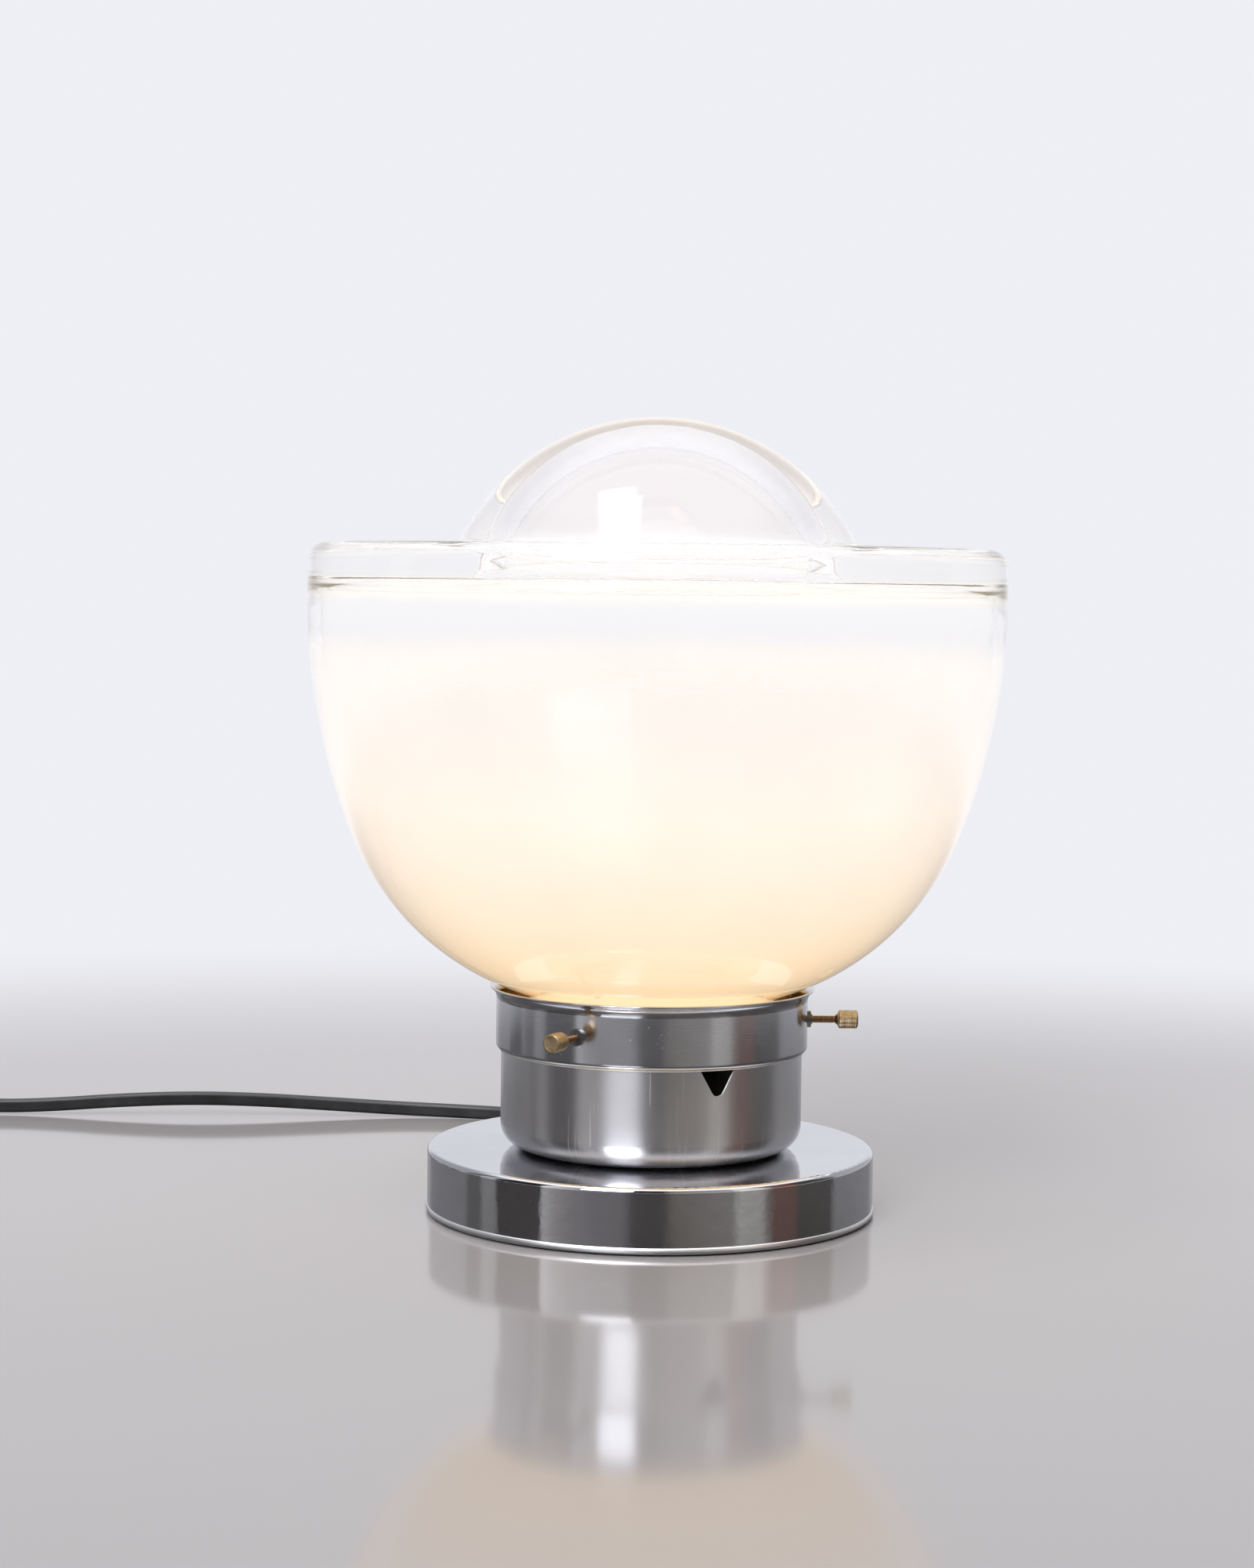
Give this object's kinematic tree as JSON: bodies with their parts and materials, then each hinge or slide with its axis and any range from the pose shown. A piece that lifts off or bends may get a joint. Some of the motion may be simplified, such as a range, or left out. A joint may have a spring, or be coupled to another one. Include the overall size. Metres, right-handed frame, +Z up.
{
  "type": "table lamp",
  "caption": "Table lamp with a blown opal glass shade under a clear glass dome, held by thumb screws in a chrome gallery on a chrome drum base, with a flat cord.",
  "frame": {"origin": "middle of the felt under the base, on the surface the lamp stands on", "axes": "+Z up along the lamp's axis, -Y towards the front, +X to the right of someone facing the front"},
  "size_m": [0.6046, 0.3394, 0.305],
  "materials": {
    "mirror_chrome": "mirror polished, with fine wear",
    "satin_chrome": "satin chrome with fine upright hairlines",
    "aged_brass": "unlacquered, dulled with age",
    "shade_glass": "blown, opal white below fading to clear above, lit from inside",
    "steel": "zinc plated",
    "iron": "as cast",
    "black_paint": "matt black",
    "felt": "black felt",
    "black_rubber": "matt",
    "bakelite": "moulded black, semi gloss",
    "ceramic": "glazed white",
    "contact_brass": "bright",
    "bulb_glass": "frosted",
    "bulb_metal": "rolled thread",
    "cord_black": "flat twin flex, satin black",
    "core_brown": "brown insulation",
    "core_blue": "blue insulation",
    "switch_black": "moulded black",
    "pin_nickel": "nickel plated",
    "tie_fabric": "woven hook and loop strap"
  },
  "bodies": {
    "lamp": {"base_shell": "mirror_chrome", "base_ballast": "iron", "base_cover": "black_paint", "base_felt": "felt", "threaded_tube": "steel", "foot_washer": "steel", "foot_nut": "steel", "base_spacer": "black_rubber", "canister": "satin_chrome", "canister_washer": "steel", "canister_nut": "steel", "gallery_nut": "steel", "gallery_cup": "satin_chrome", "shade_gasket": "black_rubber", "star_washer": "steel", "screw_bushes": "steel", "holder_cap": "bakelite", "holder_skirt": "bakelite", "holder_insert": "ceramic", "holder_thread_shell": "contact_brass", "holder_centre_contact": "contact_brass", "terminal_posts": "contact_brass", "terminal_screws": "steel", "cord_strain_relief": "black_rubber", "cord_inner": "cord_black", "cord_clamp": "steel", "clamp_screws": "steel", "core_live": "core_brown", "core_neutral": "core_blue", "cord_lead": "cord_black", "cord_coil": "cord_black", "cord_tie": "tie_fabric", "switch_lower_shell": "switch_black", "switch_upper_shell": "switch_black", "switch_screws": "steel", "switch_pivot_pin": "steel", "switch_contacts": "contact_brass", "plug_body": "cord_black", "plug_pins": "pin_nickel"},
    "shade": {"glass_neck": "shade_glass", "glass_bowl": "shade_glass", "glass_crown": "shade_glass"},
    "screw_left": {"thumb_screw_left": "aged_brass"},
    "screw_right": {"thumb_screw_right": "aged_brass"},
    "screw_rear": {"thumb_screw_rear": "aged_brass"},
    "bulb": {"bulb_cap": "bulb_metal", "bulb_insulator": "bakelite", "bulb_contact": "bulb_metal", "bulb_envelope": "bulb_glass", "bulb_stem": "bulb_glass", "bulb_filament": "steel"},
    "rocker": {"switch_rocker": "switch_black"}
  },
  "joints": [
    {"name": "shade_lift", "type": "slide", "parent": "lamp", "child": "shade", "axis": [0, 0, 1], "range_m": [0, 0.14]},
    {"name": "bulb_draw", "type": "slide", "parent": "lamp", "child": "bulb", "axis": [0, 0, 1], "range_m": [0, 0.03]},
    {"name": "screw_left_travel", "type": "slide", "parent": "lamp", "child": "screw_left", "axis": [-0.4664, -0.8846, 0], "range_m": [0, 0.008]},
    {"name": "screw_right_travel", "type": "slide", "parent": "lamp", "child": "screw_right", "axis": [0.9993, 0.0384, 0], "range_m": [0, 0.008]},
    {"name": "screw_rear_travel", "type": "slide", "parent": "lamp", "child": "screw_rear", "axis": [-0.5329, 0.8462, 0], "range_m": [0, 0.008]},
    {"name": "rocker_tilt", "type": "hinge", "parent": "lamp", "child": "rocker", "pos_m": [-0.367, 0.1931, 0.0116], "axis": [0, 1, 0], "range_deg": [-16, 0]}
  ]
}
